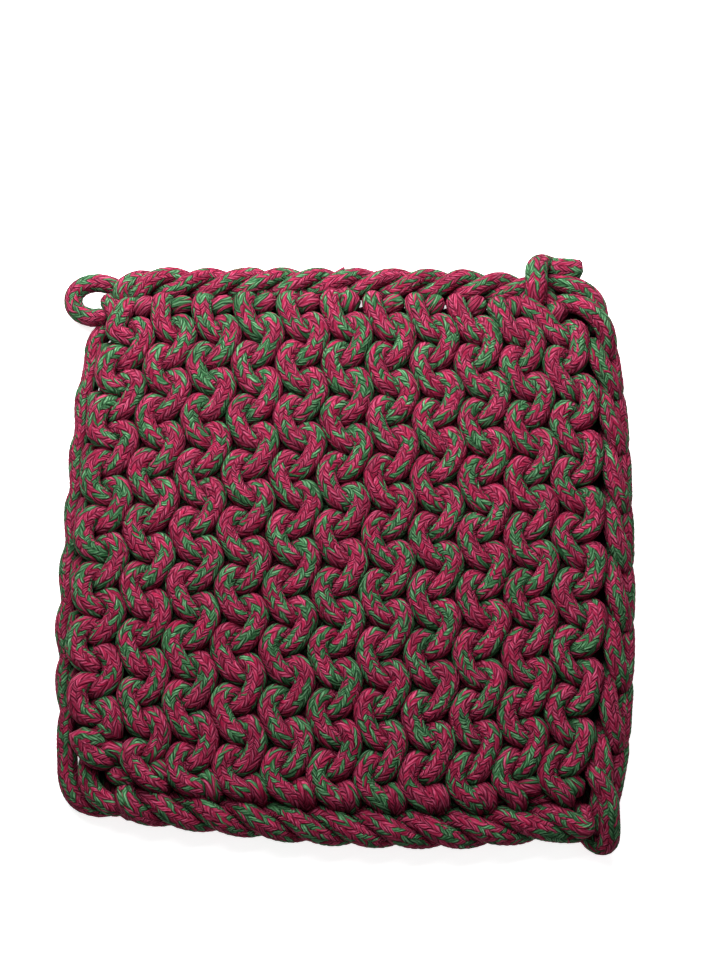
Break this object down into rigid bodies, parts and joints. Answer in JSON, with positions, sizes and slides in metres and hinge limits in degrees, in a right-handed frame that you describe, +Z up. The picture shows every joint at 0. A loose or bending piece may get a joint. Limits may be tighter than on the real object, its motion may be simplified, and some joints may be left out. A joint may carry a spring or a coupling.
{
  "type": "pot holder",
  "caption": "Thick square pot holder hand-knitted in garter stitch from marled braided cotton cord, with a small hanging loop at one corner.",
  "frame": {"origin": "middle of the plan of the whole pot holder, on the surface that it lies on", "axes": "+X across the ridges from the cast-on edge to the bound-off edge, +Y along the ridges towards the edge with the hanging loop, +Z up out of the face"},
  "size_m": [0.2096, 0.2152, 0.017],
  "materials": {
    "marled_cord": "matte braided cotton, crimson pink and green threads mixed"
  },
  "bodies": {
    "root": {"knitted_panel": "marled_cord", "hanging_loop": "marled_cord", "cord_end_knot": "marled_cord"}
  },
  "joints": []
}
